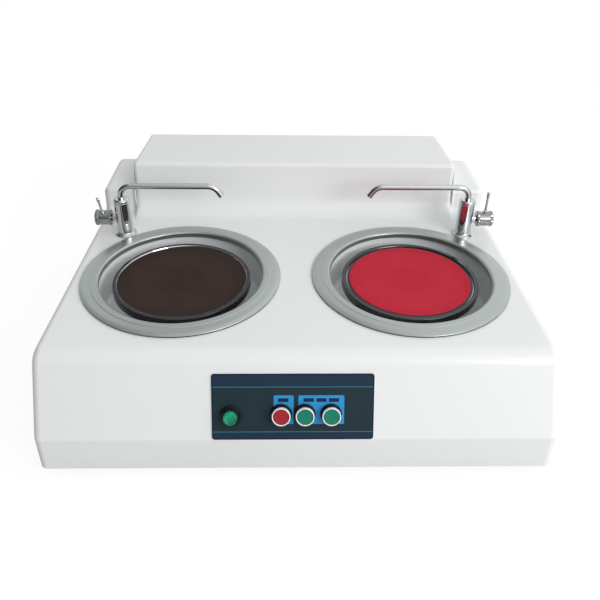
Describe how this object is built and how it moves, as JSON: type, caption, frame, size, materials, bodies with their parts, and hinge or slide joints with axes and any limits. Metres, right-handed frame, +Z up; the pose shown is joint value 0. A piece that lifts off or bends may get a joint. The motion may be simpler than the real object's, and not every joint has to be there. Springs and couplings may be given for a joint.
{
  "type": "metallographic polishing machine",
  "caption": "Bench-top grinding and polishing machine: two turning discs in splash rings on a moulded white shell, with swing-spout water taps and a push-button panel.",
  "frame": {"origin": "centre of the footprint, on the surface that the rubber feet stand on", "axes": "+X along the width towards the right disc as seen from the controls, +Y towards the rear, +Z up"},
  "size_m": [0.721, 0.6144, 0.2705],
  "materials": {
    "shell": "gloss moulded",
    "steel_plate": "painted steel",
    "base": "painted steel",
    "zinc": "zinc plated",
    "rubber": "matte",
    "bowl": "spun",
    "ring": "satin",
    "platen": "machined",
    "clamp": "machined",
    "paper": "abrasive grit",
    "pad": "matte",
    "cloth": "short nap",
    "steel": "ground",
    "cast": "painted casting",
    "pulley": "machined",
    "belt": "matte",
    "motor": "painted casting",
    "box": "moulded",
    "panel": "satin navy",
    "label": "printed blue",
    "black": "moulded",
    "bezel": "satin chrome",
    "lens": "clear green",
    "red_cap": "moulded",
    "green_cap": "moulded",
    "chrome": "polished",
    "brass": "plain",
    "hose": "moulded",
    "pvc": "moulded"
  },
  "bodies": {
    "frame": {"housing_shell": "shell", "base_plate": "base", "base_screws": "zinc", "rubber_feet": "rubber", "bridge_channel": "steel_plate", "left_bowl": "bowl", "right_bowl": "bowl", "left_splash_ring": "ring", "right_splash_ring": "ring", "left_bearing_housing": "cast", "right_bearing_housing": "cast", "left_bearings": "steel", "right_bearings": "steel", "left_belt": "belt", "right_belt": "belt", "motor_casing": "motor", "motor_mount": "steel_plate", "control_box": "box", "control_panel": "panel", "label_plates": "label", "switch_bodies": "black", "lamp_bezel": "black", "lamp_lens": "lens", "stop_bezel": "bezel", "left_start_bezel": "bezel", "right_start_bezel": "bezel", "left_tap_body": "chrome", "right_tap_body": "chrome", "tap_nuts": "brass", "supply_pipes": "hose", "drain_pipes": "pvc", "water_inlet": "brass", "drain_outlet": "pvc", "cable_gland": "black"},
    "left_disc": {"left_platen": "platen", "left_clamp_ring": "clamp", "left_abrasive_paper": "paper", "left_slinger": "black", "left_spindle": "steel", "left_pulley": "pulley"},
    "right_disc": {"right_platen": "platen", "right_clamp_ring": "clamp", "right_backing_pad": "pad", "right_polishing_cloth": "cloth", "right_slinger": "black", "right_spindle": "steel", "right_pulley": "pulley"},
    "motor_rotor": {"motor_shaft": "steel", "motor_pulley": "pulley"},
    "left_spout": {"left_spout": "chrome"},
    "right_spout": {"right_spout": "chrome"},
    "left_valve": {"left_valve_knob": "chrome", "left_valve_lever": "chrome"},
    "right_valve": {"right_valve_knob": "chrome", "right_valve_lever": "chrome"},
    "stop_button": {"stop_cap": "red_cap"},
    "left_start_button": {"left_start_cap": "green_cap"},
    "right_start_button": {"right_start_cap": "green_cap"}
  },
  "joints": [
    {"name": "left_disc_spin", "type": "hinge", "parent": "frame", "child": "left_disc", "pos_m": [-0.177, -0.06532, 0.1714], "axis": [0, 0, 1], "continuous": true},
    {"name": "right_disc_spin", "type": "hinge", "parent": "frame", "child": "right_disc", "pos_m": [0.177, -0.06532, 0.1714], "axis": [0, 0, 1], "continuous": true},
    {"name": "motor_spin", "type": "hinge", "parent": "frame", "child": "motor_rotor", "pos_m": [0, 0.21668, 0.1], "axis": [0, 0, 1], "continuous": true},
    {"name": "left_spout_swing", "type": "hinge", "parent": "frame", "child": "left_spout", "pos_m": [-0.28702, 0.06767, 0.2655], "axis": [0, 0, 1], "range_deg": [-100, 15]},
    {"name": "right_spout_swing", "type": "hinge", "parent": "frame", "child": "right_spout", "pos_m": [0.28702, 0.06767, 0.2655], "axis": [0, 0, 1], "range_deg": [-15, 100]},
    {"name": "left_valve_turn", "type": "hinge", "parent": "frame", "child": "left_valve", "pos_m": [-0.32002, 0.06767, 0.208], "axis": [1, 0, 0], "range_deg": [-23, 67]},
    {"name": "right_valve_turn", "type": "hinge", "parent": "frame", "child": "right_valve", "pos_m": [0.32002, 0.06767, 0.208], "axis": [1, 0, 0], "range_deg": [0, 90]},
    {"name": "stop_press", "type": "slide", "parent": "frame", "child": "stop_button", "axis": [0, 0.9026, -0.4305], "range_m": [0, 0.003], "stiffness_N_per_m": 300},
    {"name": "left_start_press", "type": "slide", "parent": "frame", "child": "left_start_button", "axis": [0, 0.9026, -0.4305], "range_m": [0, 0.003], "stiffness_N_per_m": 300},
    {"name": "right_start_press", "type": "slide", "parent": "frame", "child": "right_start_button", "axis": [0, 0.9026, -0.4305], "range_m": [0, 0.003], "stiffness_N_per_m": 300}
  ],
  "couplings": [
    {"joint": "right_disc_spin", "follows": "left_disc_spin", "ratio": 1},
    {"joint": "motor_spin", "follows": "left_disc_spin", "ratio": 2.5}
  ]
}
